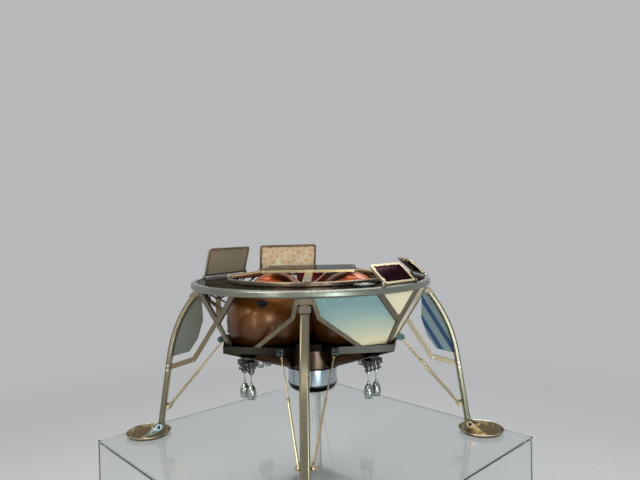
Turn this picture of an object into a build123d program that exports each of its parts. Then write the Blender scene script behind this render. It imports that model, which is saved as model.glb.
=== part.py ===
"""A half-scale display model of a four-legged lunar lander, standing on a clear box plinth.

Millimetres, +Z up. The origin is the centre of the plinth's underside. The lander itself is drawn
in its own frame, with its axis on Z and the undersides of its footpads at Z = 0, and is then moved
onto the plinth. Azimuths run from the front, which is -Y, towards the right, which is +X.
"""
from build123d import *
from math import asin, cos, degrees, radians, sin, sqrt
import os

os.makedirs("parts", exist_ok=True)

# Plinth
plinth_side = 1282.0
plinth_height = 520.0
plinth_sheet = 10.0
lander_set_back = 70.0

# Top ring and the dark deck inside it
ring_radius = 500.0
ring_width = 22.0
ring_depth = 26.0
ring_top = 665.0
ring_edge_round = 8.0
deck_sink = 2.0
deck_thickness = 6.0
deck_hole_radius = 345.0
lip_width = 10.0
lip_height = 17.0
port_azimuth = 30.0
port_reach = 416.0
port_radius = 40.0
port_glass_radius = 31.0
port_height = 9.0
port_glass_sink = 3.0

# Upper panel over the deck, on four cranked straps
slab_size_x = 385.0
slab_size_y = 330.0
slab_thickness = 10.0
slab_rise = 45.0
slab_corner = 14.0
strap_width = 32.0
strap_thickness = 4.0
strap_foot = 18.0
brace_radius = 2.4
brace_foot_half = 27.0
brace_head_half = 74.0

# Tanks and the tube between them
tank_radius = 160.0
tank_offset = 167.5
tank_rise = 75.0
tank_seat_gap = 0.3
tank_boss_radius = 16.0
tank_boss_height = 10.0
column_radius = 60.0
fitting_height = 80.0
fitting_turn = 45.0
fitting_radius = 11.0
fitting_length = 16.0

# Tank floor and the dished lower body: flat distance, flat half width and corner distance
body_depth = 222.0
floor_thickness = 26.0
floor_flat = 350.0
floor_flat_half = 112.0
floor_corner = 448.0
recess_mouth_half = 84.0
recess_floor_half = 48.0
recess_depth = 46.0
belly_depth = 114.0
belly_flat = 118.0
belly_flat_half = 45.0
belly_corner = 128.0
notch_half = 80.0
cup_wall = 5.0

# Main engine
casing_radius = 117.0
casing_drop = 119.0
casing_round = 4.0
engine_radius = 104.0
engine_can = 73.0
engine_lip = 31.0
exit_radius = 72.0
exit_wall = 4.0
throat_radius = 16.0
throat_depth = 82.0
throat_lean = 0.35
engine_gap = 0.3

# Open frame round the tanks
frame_inset = 15.0
frame_bar = 22.0
frame_thickness = 9.0
frame_inner_round = 14.0
bay_bar = 15.0
bay_plate_drop = 21.0
bay_plate_thickness = 6.0
bay_plate_proud = 2.0
bay_plate_gap = 0.3
bay_half_angle = 6.0
y_half_angle = 12.5
y_foot_inset = 29.0
y_joint_rise = 91.0
bar_top_half = 26.0
bar_kink_half = 44.0
bar_kink_rise = 124.0
bar_foot_half = 188.0
panel_thickness = 3.0
panel_gap = 0.3

# Legs, in the plane of each leg: radius, height
leg_top_inset = 53.0
leg_knee = (614.0, 340.0)
leg_foot = (660.0, 39.0)
leg_depth = 22.0
leg_breadth = 32.0
leg_edge_round = 7.0
leg_foot_round = 13.0
wing_inset = 100.0
wing_bends = [(400.0, 495.0), (510.0, 322.0)]
wing_leg_height = 287.0
wing_bar = 20.0
wing_thickness = 14.0
sleeve_drop = 25.0
sleeve_height = 20.0
sleeve_wall = 4.0
sleeve_gap = 0.3
pane_thickness = 4.0
# how far inside the ring's rim, height
pane_bends = [(28.0, 620.0), (32.0, 488.0), (8.0, 411.0), (-29.0, 356.0)]
pane_leg_height = 333.0

# Struts
strut_head_side = 98.0
strut_head_drop = 14.0
strut_foot = (621.0, 22.0, 122.0)
strut_rod_radius = 2.6
strut_tube_radius = 4.6
strut_tube_share = 0.56
strut_ball_radius = 9.0
strut_pin_radius = 4.0
pin_clearance = 0.05
bracket_size = (16.0, 22.0, 26.0)
lug_half_breadth = 10.0
lug_round = 10.0

# Footpads and the two straps that hold each one to its leg
pad_centre = 715.0
pad_radius = 95.0
pad_sheet = 4.0
pad_rim_height = 13.0
pad_rim_slope = 10.0
yoke_pin_radius = 6.0
yoke_strap_width = 26.0
yoke_strap_thickness = 5.0
yoke_head_half = 28.0
yoke_foot_half = 52.0
yoke_foot_radius = 702.0

# Small thrusters, in pairs under the diagonals
thruster_inset = 110.0
thruster_spacing = 44.0
manifold_size = (34.0, 84.0, 20.0)
manifold_drop = 65.0
valve_radius = 11.0
valve_height = 26.0
stem_radius = 2.6
bell_drop = 70.0
bell_length = 56.0
bell_exit = 14.0
bell_throat = 5.0
bell_wall = 1.5
bell_steepness = 1.1

# Hinged framed panels on the ring
flap_bar = 9.0
flap_thickness = 8.0
flap_corner = 14.0
flap_pane_thickness = 3.0
hinge_rise = 10.0
hinge_pin_radius = 3.0
ear_thickness = 8.0
ear_depth = 14.0
ear_gap = 1.0
# name, azimuth, width, length, lean inwards from upright
flaps = [
    ("a", 197.0, 290.0, 130.0, 12.0),
    ("b", 242.0, 290.0, 130.0, 15.0),
    ("c", 45.0, 176.0, 100.0, 50.0),
    ("d", 100.0, 176.0, 100.0, 48.0),
]

# Worked out from the sizes above
ring_bottom = ring_top - ring_depth
ring_inner = ring_radius - ring_width
deck_top = ring_top - deck_sink
deck_bottom = deck_top - deck_thickness
lip_top = deck_top + lip_height
slab_top = ring_top + slab_rise
slab_bottom = slab_top - slab_thickness
floor_top = ring_top - body_depth
floor_bottom = floor_top - floor_thickness
tank_height = floor_top + tank_rise
belly_bottom = floor_bottom - belly_depth
casing_bottom = floor_bottom - casing_drop
engine_shoulder = casing_bottom - engine_can
engine_bottom = engine_shoulder - engine_lip
throat_height = engine_bottom + throat_depth
frame_radius = ring_radius - frame_inset
y_foot_radius = floor_corner - y_foot_inset
y_joint_height = floor_top + y_joint_rise
bar_kink_height = floor_top + bar_kink_rise
strut_head_height = floor_top - strut_head_drop
thruster_radius = floor_corner - thruster_inset
manifold_bottom = floor_bottom - manifold_drop
bell_top = manifold_bottom - bell_drop
sleeve_top = ring_bottom - sleeve_drop
leg_top = (ring_radius - leg_top_inset, deck_bottom)
wing_points = [(ring_radius - wing_inset, deck_bottom), *wing_bends]
pane_edge = [(ring_radius - inset, height) for inset, height in pane_bends]
plinth_inner = plinth_side - 2 * plinth_sheet
LEG_TURNS = [0.0, 90.0, 180.0, 270.0]
PLACE = Location((0, lander_set_back, plinth_height))
FAR = 3000.0


def save(solid, node):
    """Write one node of the lander, moved onto the plinth."""
    moved = PLACE * solid
    moved.label = node
    export_step(moved, f"parts/{node}.step")


def turned(solid, angle):
    """Turn a solid about the lander's axis."""
    return Rot(0, 0, angle) * solid


def leg_plane():
    """The upright plane of the leg that points along +X: radius across, height up."""
    return Plane.XZ


def bar_face(points, width):
    """A flat bar of one width along a run of points, round at its inner corners."""
    face = Sketch()
    for (ax, ay), (bx, by) in zip(points, points[1:]):
        run = sqrt((bx - ax) ** 2 + (by - ay) ** 2)
        side_x = -(by - ay) / run * width / 2
        side_y = (bx - ax) / run * width / 2
        corners = [(ax + side_x, ay + side_y), (bx + side_x, by + side_y)]
        corners += [(bx - side_x, by - side_y), (ax - side_x, ay - side_y)]
        face += Polygon(*corners, align=None)
    for x, y in points[1:-1]:
        face += Pos(x, y) * Circle(width / 2)
    return face


def rod(start, end, radius):
    """A round rod from one point to another."""
    line = Vector(*end) - Vector(*start)
    plane = Plane(origin=start, z_dir=line)
    return plane * Cylinder(radius, line.length, align=(Align.CENTER, Align.CENTER, Align.MIN))


def slab_between(low, high):
    """A very wide block between two heights, for trimming bars flush."""
    block = Box(FAR, FAR, high - low, align=(Align.CENTER, Align.CENTER, Align.MIN))
    return Pos(0, 0, low) * block


def largest(shape):
    """The largest solid of a cut shape."""
    return shape.solids().sort_by(SortBy.VOLUME)[-1]


def rounded_ring(outer, width, low, high, rounding):
    """A flat ring with rounded outer edges."""
    ring = Pos(0, 0, low) * Cylinder(outer, high - low, align=(Align.CENTER, Align.CENTER, Align.MIN))
    ring = fillet(ring.edges().filter_by(GeomType.CIRCLE), rounding)
    hole = Pos(0, 0, low - 1) * Cylinder(
        outer - width, high - low + 2, align=(Align.CENTER, Align.CENTER, Align.MIN)
    )
    return ring - hole


# Plinth: a clear box with its corners towards the legs
def make_plinth():
    square = Rot(0, 0, 45) * Rectangle(plinth_side, plinth_side)
    inner = Rot(0, 0, 45) * Rectangle(plinth_inner, plinth_inner)
    wall_height = plinth_height - plinth_sheet
    walls = extrude(square - inner, amount=wall_height)
    top = Pos(0, 0, wall_height) * extrude(square, amount=plinth_sheet)
    return walls, top


# Top ring, deck and lip
def make_ring():
    return rounded_ring(ring_radius, ring_width, ring_bottom, ring_top, ring_edge_round)


def make_deck():
    face = Circle(ring_inner) - Circle(deck_hole_radius)
    return Pos(0, 0, deck_bottom) * extrude(face, amount=deck_thickness)


def make_lip():
    return rounded_ring(deck_hole_radius + lip_width, lip_width, deck_top, lip_top, lip_width / 3)


def make_port():
    """A round port on the deck: a rounded collar with a sunk lens."""
    collar = Cylinder(port_radius, port_height, align=(Align.CENTER, Align.CENTER, Align.MIN))
    collar = fillet(collar.edges().sort_by(Axis.Z)[-1], port_glass_sink)
    lens = Pos(0, 0, port_height - port_glass_sink) * Cylinder(
        port_glass_radius, port_height, align=(Align.CENTER, Align.CENTER, Align.MIN)
    )
    return Rot(0, 0, port_azimuth) * Pos(0, -port_reach, deck_top) * (collar - lens)


def make_slab():
    plate = extrude(RectangleRounded(slab_size_x, slab_size_y, slab_corner), amount=slab_thickness)
    return Pos(0, 0, slab_bottom) * plate


def make_slab_straps():
    half = strap_thickness / 2
    straps = []
    for turn, edge in zip(LEG_TURNS, [slab_size_x / 2, slab_size_y / 2] * 2):
        outer = deck_hole_radius + lip_width
        points = [
            (outer, lip_top + half),
            (outer - strap_foot, lip_top + half),
            (edge + strap_foot / 2, slab_bottom - half),
            (edge - strap_foot, slab_bottom - half),
        ]
        face = leg_plane() * bar_face(points, strap_thickness)
        strap = extrude(face, amount=strap_width / 2, both=True)
        for side in (-1, 1):
            foot = (outer - lip_width / 2, side * brace_foot_half, lip_top - brace_radius)
            head = (edge - strap_foot, side * brace_head_half, slab_bottom + brace_radius)
            strap += rod(foot, head, brace_radius) & slab_between(lip_top, slab_bottom)
        straps.append(turned(strap, turn))
    return Compound(children=straps)


# Tanks
def tank_place(turn):
    angle = radians(turn + 45)
    reach = tank_offset * sqrt(2)
    return Pos(reach * cos(angle), reach * sin(angle), tank_height)


def make_tank(turn):
    boss = Cylinder(
        tank_boss_radius,
        tank_radius + tank_boss_height,
        align=(Align.CENTER, Align.CENTER, Align.MIN),
    )
    return tank_place(turn) * (Sphere(tank_radius) + boss)


def make_fitting(turn):
    """A valve on the outer upper side of a tank, pointing away from its centre."""
    rise = degrees(asin(fitting_height / tank_radius))
    stub = Pos(0, 0, tank_radius - fitting_radius / 2) * Cylinder(
        fitting_radius, fitting_length, align=(Align.CENTER, Align.CENTER, Align.MIN)
    )
    stub += Pos(0, 0, tank_radius + fitting_length / 2) * Cylinder(
        fitting_radius / 2, fitting_length, align=(Align.CENTER, Align.CENTER, Align.MIN)
    )
    aim = Rot(0, 0, turn + 45 + fitting_turn) * Rot(0, 90 - rise, 0)
    return tank_place(turn) * (aim * stub - Sphere(tank_radius))


def tank_pockets():
    pockets = [tank_place(turn) * Sphere(tank_radius + tank_seat_gap) for turn in LEG_TURNS]
    return pockets[0] + pockets[1] + pockets[2] + pockets[3]


def make_column():
    height = slab_bottom - floor_top
    tube = Cylinder(column_radius, height, align=(Align.CENTER, Align.CENTER, Align.MIN))
    return Pos(0, 0, floor_top) * tube


# Tank floor and belly
def body_outline(flat, flat_half, corner):
    """The body's plan: a flat at each leg and a corner on each diagonal."""
    points = []
    for turn in LEG_TURNS:
        for radius_x, side_y in [(flat, -flat_half), (flat, flat_half)]:
            spot = Vector(radius_x, side_y).rotate(Axis.Z, turn)
            points.append((spot.X, spot.Y))
        spot = Vector(corner, 0).rotate(Axis.Z, turn + 45)
        points.append((spot.X, spot.Y))
    return Polygon(*points, align=None)


def make_floor(pockets):
    outline = body_outline(floor_flat, floor_flat_half, floor_corner)
    recess = Polygon(
        (floor_flat + recess_depth, -recess_mouth_half), (floor_flat, -recess_mouth_half),
        (floor_flat - recess_depth, -recess_floor_half), (floor_flat - recess_depth, recess_floor_half),
        (floor_flat, recess_mouth_half), (floor_flat + recess_depth, recess_mouth_half),
        align=None,
    )
    for turn in LEG_TURNS:
        outline -= turned(recess, turn)
    plate = Pos(0, 0, floor_bottom) * extrude(outline, amount=floor_thickness)
    return plate - pockets


def make_belly(pockets):
    """A shallow dished lobe on each diagonal, with a cup round the lower part of each tank."""
    top = Pos(0, 0, floor_bottom) * body_outline(floor_flat, floor_flat_half, floor_corner)
    bottom = Pos(0, 0, belly_bottom) * body_outline(belly_flat, belly_flat_half, belly_corner)
    dish = loft([bottom.face(), top.face()], ruled=True)
    for turn in (0, 90):
        dish -= turned(Box(FAR, 2 * notch_half, FAR), turn)
    hollow = Cylinder(casing_radius + engine_gap, FAR)
    lobes = []
    for turn in LEG_TURNS:
        angle = radians(turn + 45)
        quarter = Pos(FAR / 2 * cos(angle), FAR / 2 * sin(angle), 0) * turned(Box(FAR, FAR, FAR), turn + 45)
        cup = tank_place(turn) * Sphere(tank_radius + cup_wall) & slab_between(0, floor_bottom)
        lobes.append(largest((dish & quarter) + cup - hollow - pockets))
    return Compound(children=lobes)


# Main engine
def make_casing(pockets):
    height = floor_bottom - casing_bottom
    casing = Cylinder(casing_radius, height, align=(Align.CENTER, Align.CENTER, Align.MIN))
    casing = Pos(0, 0, casing_bottom) * casing
    return fillet(casing.edges().sort_by(Axis.Z)[0], casing_round) - pockets


def make_engine():
    """A round can that curves in to the bell's mouth, with the bell's cavity inside it."""
    with BuildPart() as engine:
        with BuildSketch(Plane.XZ):
            with BuildLine():
                Line((0, casing_bottom), (engine_radius, casing_bottom))
                Line((engine_radius, casing_bottom), (engine_radius, engine_shoulder))
                TangentArc(
                    (engine_radius, engine_shoulder),
                    (exit_radius + exit_wall, engine_bottom),
                    tangent=(0, -1),
                )
                Line((exit_radius + exit_wall, engine_bottom), (exit_radius, engine_bottom))
                TangentArc(
                    (exit_radius, engine_bottom), (throat_radius, throat_height), tangent=(-throat_lean, 1)
                )
                Line((throat_radius, throat_height), (0, throat_height))
                Line((0, throat_height), (0, casing_bottom))
            make_face()
        revolve(axis=Axis.Z)
    return engine.part


# Open frame: a Y on each diagonal and a pair of kinked bars at each leg
def beyond(start, end, extra):
    """A point past the end of a run, for bars that are trimmed flush."""
    run = sqrt((end[0] - start[0]) ** 2 + (end[1] - start[1]) ** 2)
    return (
        end[0] + (end[0] - start[0]) / run * extra,
        end[1] + (end[1] - start[1]) / run * extra,
    )


def sector_plane():
    """The slanted plane between the leg on +X and the Y at 45 degrees to it."""
    inner = Vector(frame_radius, 0).rotate(Axis.Z, bay_half_angle)
    outer = Vector(frame_radius, 0).rotate(Axis.Z, 45 - y_half_angle)
    inner = Vector(inner.X, inner.Y, ring_bottom)
    outer = Vector(outer.X, outer.Y, ring_bottom)
    foot = Vector(y_foot_radius, 0).rotate(Axis.Z, 45)
    foot = Vector(foot.X, foot.Y, floor_top)
    along = outer - inner
    normal = along.cross(inner - foot)
    return Plane(origin=inner, x_dir=along, z_dir=normal)


def on_sector(side, height):
    """The point of the sector plane at a distance beside the leg and a height, in its own axes."""
    plane = sector_plane()
    start = plane.origin
    normal = plane.z_dir
    reach = start.X - (normal.Y * (side - start.Y) + normal.Z * (height - start.Z)) / normal.X
    spot = plane.to_local_coords(Vector(reach, side, height))
    return (spot.X, spot.Y)


def joint_reach():
    """How far out on the diagonal the sector planes meet at the height of the Y's joint."""
    start = sector_plane().origin
    normal = sector_plane().z_dir
    level = start.X * normal.X + start.Y * normal.Y - (y_joint_height - start.Z) * normal.Z
    return level / ((normal.X + normal.Y) * cos(radians(45)))


def y_plane(low_reach, low, high_reach, high):
    """The plane through two heights of the diagonal on +X, with the lower point as its origin."""
    up = Vector(high_reach - low_reach, 0, high - low).normalized()
    return Plane(origin=(low_reach, 0, low), x_dir=(0, 1, 0), z_dir=Vector(0, 1, 0).cross(up))


def arms_plane():
    arm_reach = frame_radius * cos(radians(y_half_angle))
    return y_plane(joint_reach(), y_joint_height, arm_reach, ring_bottom)


def arm_tips():
    """The tips of the two arms in the arms' plane, whose origin is the joint."""
    arm_side = frame_radius * sin(radians(y_half_angle))
    arm_reach = frame_radius * cos(radians(y_half_angle))
    slope = sqrt((arm_reach - joint_reach()) ** 2 + (ring_bottom - y_joint_height) ** 2)
    return (-arm_side, slope), (arm_side, slope)


def make_y():
    left, right = arm_tips()
    joint = (0, 0)
    face = bar_face([beyond(joint, left, frame_bar), joint, beyond(joint, right, frame_bar)], frame_bar)
    crotch = face.vertices().filter_by(lambda v: abs(v.X) < 0.1 and v.Y > 0)
    face = fillet(crotch, frame_inner_round)
    arms = extrude(arms_plane() * face, amount=frame_thickness / 2, both=True)
    foot_plane = y_plane(y_foot_radius, floor_top, joint_reach(), y_joint_height)
    top = (0, sqrt((joint_reach() - y_foot_radius) ** 2 + (y_joint_height - floor_top) ** 2))
    foot = bar_face([beyond(top, (0, 0), frame_bar), top], frame_bar)
    leg = extrude(foot_plane * foot, amount=frame_thickness / 2, both=True)
    return (arms + leg) & slab_between(floor_top, ring_bottom)


def make_bay_bar():
    top = on_sector(bar_top_half, ring_bottom)
    kink = on_sector(bar_kink_half, bar_kink_height)
    foot = on_sector(bar_foot_half, floor_top)
    points = [beyond(kink, top, bay_bar), kink, beyond(kink, foot, bay_bar)]
    plate = extrude(sector_plane() * bar_face(points, bay_bar), amount=frame_thickness / 2, both=True)
    return plate & slab_between(floor_top, ring_bottom)


def bay_plate_front():
    """How far out the front of the plate under the ring lies."""
    return sector_plane().origin.X + frame_thickness / 2 + bay_plate_proud


def make_bay_frame(bar):
    """The two kinked bars of a leg, joined by a plate under the ring."""
    width = 2 * bar_top_half + bay_bar
    plate = Box(bay_plate_thickness, width, bay_plate_drop, align=(Align.MAX, Align.CENTER, Align.MAX))
    return bar + mirror(bar, about=Plane.XZ) + Pos(bay_plate_front(), 0, ring_bottom) * plate


def make_side_panel(y_frame, bay_bar):
    """The sheet that closes one half of a sector, from the kinked bar to the Y."""
    foot = Vector(y_foot_radius, 0).rotate(Axis.Z, 45)
    tip = Vector(frame_radius, 0).rotate(Axis.Z, 45 - y_half_angle)
    joint = Vector(joint_reach(), 0).rotate(Axis.Z, 45)
    corners = [
        on_sector(bar_top_half, ring_bottom + frame_bar),
        on_sector(tip.Y, ring_bottom + frame_bar),
        on_sector(tip.Y, ring_bottom),
        on_sector(joint.Y, y_joint_height),
        on_sector(foot.Y, floor_top),
        on_sector(foot.Y, floor_top - frame_bar),
        on_sector(bar_foot_half, floor_top - frame_bar),
        on_sector(bar_foot_half, floor_top),
        on_sector(bar_kink_half, bar_kink_height),
        on_sector(bar_top_half, ring_bottom),
    ]
    sheet = extrude(
        sector_plane() * Polygon(*corners, align=None), amount=panel_thickness / 2, both=True
    )
    sheet = sheet & slab_between(floor_top + panel_gap, ring_bottom - panel_gap)
    return largest(sheet - turned(y_frame, 45) - bay_bar)


def make_y_panel(y_frame):
    """The three-cornered sheet between the arms of a Y."""
    left, right = arm_tips()
    sheet = extrude(
        arms_plane() * Polygon((0, 0), right, left, align=None), amount=panel_thickness / 2, both=True
    )
    return largest((sheet - y_frame) & slab_between(floor_top, ring_bottom - panel_gap))


# Legs, with the wing frame and pane inside the bend of each
def leg_curve():
    """The bent upper part of the leg, tangent to its straight lower part."""
    lower = Vector(leg_knee[0] - leg_foot[0], leg_knee[1] - leg_foot[1])
    return TangentArc(leg_knee, leg_top, tangent=lower)


def make_leg(ring):
    face = trace(leg_curve(), leg_depth).face()
    face += bar_face([leg_foot, leg_knee], leg_depth)
    face += Pos(*leg_foot) * Circle(leg_foot_round)
    leg = extrude(leg_plane() * face, amount=leg_breadth / 2, both=True)
    sides = leg.edges().filter_by(lambda e: abs(abs(e.center().Y) - leg_breadth / 2) < 0.01)
    leg = fillet(sides, leg_edge_round)
    leg = leg & slab_between(0, deck_bottom)
    lug_root = strut_foot[0] + 2 * lug_round
    lug_face = bar_face([(strut_foot[0], strut_foot[2]), (lug_root, strut_foot[2])], 2 * lug_round)
    lug_face += Pos(strut_foot[0], strut_foot[2]) * Circle(lug_round)
    leg += extrude(leg_plane() * lug_face, amount=lug_half_breadth, both=True)
    holes = rod(
        (strut_foot[0], -leg_breadth, strut_foot[2]), (strut_foot[0], leg_breadth, strut_foot[2]),
        strut_pin_radius + pin_clearance,
    )
    holes += rod(
        (leg_foot[0], -leg_breadth, leg_foot[1]), (leg_foot[0], leg_breadth, leg_foot[1]),
        yoke_pin_radius + pin_clearance,
    )
    # The top of the leg is notched behind the plate that joins the bay's bars
    notch = Box(FAR, FAR, FAR, align=(Align.MIN, Align.CENTER, Align.MIN))
    notch_in = bay_plate_front() - bay_plate_thickness - bay_plate_gap
    holes += Pos(notch_in, 0, ring_bottom - bay_plate_drop - bay_plate_gap) * notch
    return largest(leg - holes - ring)


def leg_radius_at(height):
    """The radius of the middle of the straight part of the leg at a height."""
    share = (height - leg_foot[1]) / (leg_knee[1] - leg_foot[1])
    return leg_foot[0] + (leg_knee[0] - leg_foot[0]) * share


def make_wing(leg):
    points = wing_points + [(leg_radius_at(wing_leg_height), wing_leg_height)]
    wing = extrude(leg_plane() * bar_face(points, wing_bar), amount=wing_thickness / 2, both=True)
    return largest(wing - leg)


def make_sleeve(leg):
    """A collar round the top of the leg, under the ring."""
    face = trace(leg_curve(), leg_depth + 2 * sleeve_wall).face()
    block = extrude(leg_plane() * face, amount=leg_breadth / 2 + sleeve_wall, both=True)
    block = block & slab_between(sleeve_top - sleeve_height, sleeve_top)
    return largest(block - leg)


def make_pane(leg, wing, ring, sleeve):
    """The sheet that fills the bend of the leg and stops short of the wing's bar."""
    low = (leg_radius_at(pane_leg_height), pane_leg_height)
    edges = [
        Line(leg_top, pane_edge[0]),
        Polyline(*pane_edge, low),
        Line(low, leg_knee),
        leg_curve(),
    ]
    face = make_face(Curve() + edges)
    sheet = extrude(leg_plane() * face, amount=pane_thickness / 2, both=True)
    return largest(sheet - leg - wing - ring - sleeve)


# Struts: two a leg, each a thin rod in a thicker tube, with one pin across the leg's lug
def make_struts():
    x, y, z = strut_foot
    pair = rod((x, -y, z), (x, y, z), strut_pin_radius)
    for side in (-1, 1):
        head = Vector(floor_flat + bracket_size[0] / 2, side * strut_head_side, strut_head_height)
        foot = Vector(x, side * y, z)
        middle = foot + (head - foot) * strut_tube_share
        pair += rod(foot, head, strut_rod_radius)
        pair += rod(foot, middle, strut_tube_radius)
        pair += Pos(foot) * Sphere(strut_ball_radius)
        bracket = Box(*bracket_size, align=(Align.MIN, Align.CENTER, Align.CENTER))
        pair += Pos(floor_flat, side * strut_head_side, strut_head_height) * bracket
    return pair


# Footpads and yokes
def make_pad():
    """A shallow dish with a flared rim."""
    with BuildPart() as pad:
        with BuildSketch(Plane.XZ):
            inner = pad_radius - pad_rim_slope
            Polygon(
                (0, 0), (inner, 0), (pad_radius, pad_rim_height),
                (pad_radius - pad_sheet, pad_rim_height), (inner - pad_sheet / 2, pad_sheet), (0, pad_sheet),
                align=None,
            )
        revolve(axis=Axis.Z)
    return Pos(pad_centre, 0, 0) * pad.part


def make_yoke():
    """Two straps splayed from the pin at the leg's foot down to the dish."""
    yoke = rod(
        (leg_foot[0], -yoke_head_half - yoke_strap_thickness, leg_foot[1]),
        (leg_foot[0], yoke_head_half + yoke_strap_thickness, leg_foot[1]),
        yoke_pin_radius,
    )
    for side in (-1, 1):
        head = Vector(leg_foot[0], side * yoke_head_half, leg_foot[1])
        foot = Vector(yoke_foot_radius, side * yoke_foot_half, pad_sheet)
        along = foot - head
        # The strap's flat side faces outwards from the leg
        flat = along.cross(Vector(0, 0, 1)).normalized()
        plane = Plane(origin=head, x_dir=along, z_dir=flat)
        face = bar_face([(0, 0), (along.length + yoke_strap_width, 0)], yoke_strap_width)
        face += Circle(yoke_strap_width / 2)
        yoke += extrude(plane * face, amount=yoke_strap_thickness / 2, both=True)
    return largest(yoke & slab_between(pad_sheet, FAR))


# Thrusters
def make_thruster_pair(belly):
    """A manifold under the belly's corner, with two valves and two bells hanging from stems."""
    manifold = Box(*manifold_size, align=(Align.CENTER, Align.CENTER, Align.MIN))
    pad = Box(manifold_size[0], manifold_size[1] / 2, floor_bottom - manifold_bottom,
              align=(Align.CENTER, Align.CENTER, Align.MIN))
    pair = Pos(thruster_radius, 0, manifold_bottom) * (manifold + pad)
    pair = pair - turned(belly, -45)
    pair = pair.solids().sort_by(Axis.Z)[0]
    for side in (-1, 1):
        y = side * thruster_spacing / 2
        head = (thruster_radius, y, manifold_bottom)
        pair += rod(head, (thruster_radius, y, manifold_bottom - valve_height), valve_radius)
        pair += rod(head, (thruster_radius, y, bell_top - bell_throat), stem_radius)
        pair += Pos(thruster_radius, y, 0) * make_bell()
    return pair


def make_bell():
    with BuildPart() as bell:
        with BuildSketch(Plane.XZ):
            with BuildLine():
                low = bell_top - bell_length
                Line((0, bell_top), (bell_throat, bell_top))
                TangentArc((bell_throat, bell_top), (bell_exit, low), tangent=(1, -bell_steepness))
                Line((bell_exit, low), (bell_exit - bell_wall, low))
                Line((bell_exit - bell_wall, low), (0, bell_top - 2 * bell_throat))
                Line((0, bell_top - 2 * bell_throat), (0, bell_top))
            make_face()
        revolve(axis=Axis.Z)
    return bell.part


# Hinged panels: built upright with the hinge line on X, then leaned and placed
def flap_reach(width):
    """How far from the axis a hinge line lies whose ends stand on the middle of the ring."""
    middle = ring_radius - ring_width / 2
    return sqrt(middle**2 - (width / 2 + ear_thickness / 2 + ear_gap) ** 2)


def flap_place(azimuth, width, lean):
    """From the flap's own frame, hinge line on X and outside facing -Y, to its place."""
    reach = flap_reach(width)
    return Rot(0, 0, azimuth) * Pos(0, -reach, ring_top + hinge_rise) * Rot(-lean, 0, 0)


def make_flap_frame(width, length):
    outer = Pos(0, length / 2 - flap_bar / 2) * RectangleRounded(width, length, flap_corner)
    hole = Pos(0, length / 2 - flap_bar / 2) * RectangleRounded(
        width - 2 * flap_bar, length - 2 * flap_bar, flap_corner - flap_bar / 2
    )
    frame = extrude(Plane.XZ * (outer - hole), amount=flap_thickness / 2, both=True)
    half = width / 2 + ear_gap + ear_thickness
    return frame + rod((-half, 0, 0), (half, 0, 0), hinge_pin_radius)


def make_flap_pane(width, length):
    sheet = Pos(0, length / 2 - flap_bar / 2) * RectangleRounded(
        width - 2 * flap_bar, length - 2 * flap_bar, flap_corner - flap_bar / 2
    )
    return extrude(Plane.XZ * sheet, amount=flap_pane_thickness / 2, both=True)


def make_ears(width):
    """The two ears of one hinge, upright, with the hinge line on X."""
    ears = []
    for side in (-1, 1):
        face = Circle(ear_depth / 2)
        face += Pos(0, -hinge_rise / 2) * Rectangle(ear_depth, hinge_rise)
        face -= Circle(hinge_pin_radius + pin_clearance)
        middle = side * (width / 2 + ear_gap + ear_thickness / 2)
        ears.append(Pos(middle, 0, 0) * extrude(Plane.YZ * face, amount=ear_thickness / 2, both=True))
    return ears


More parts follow.
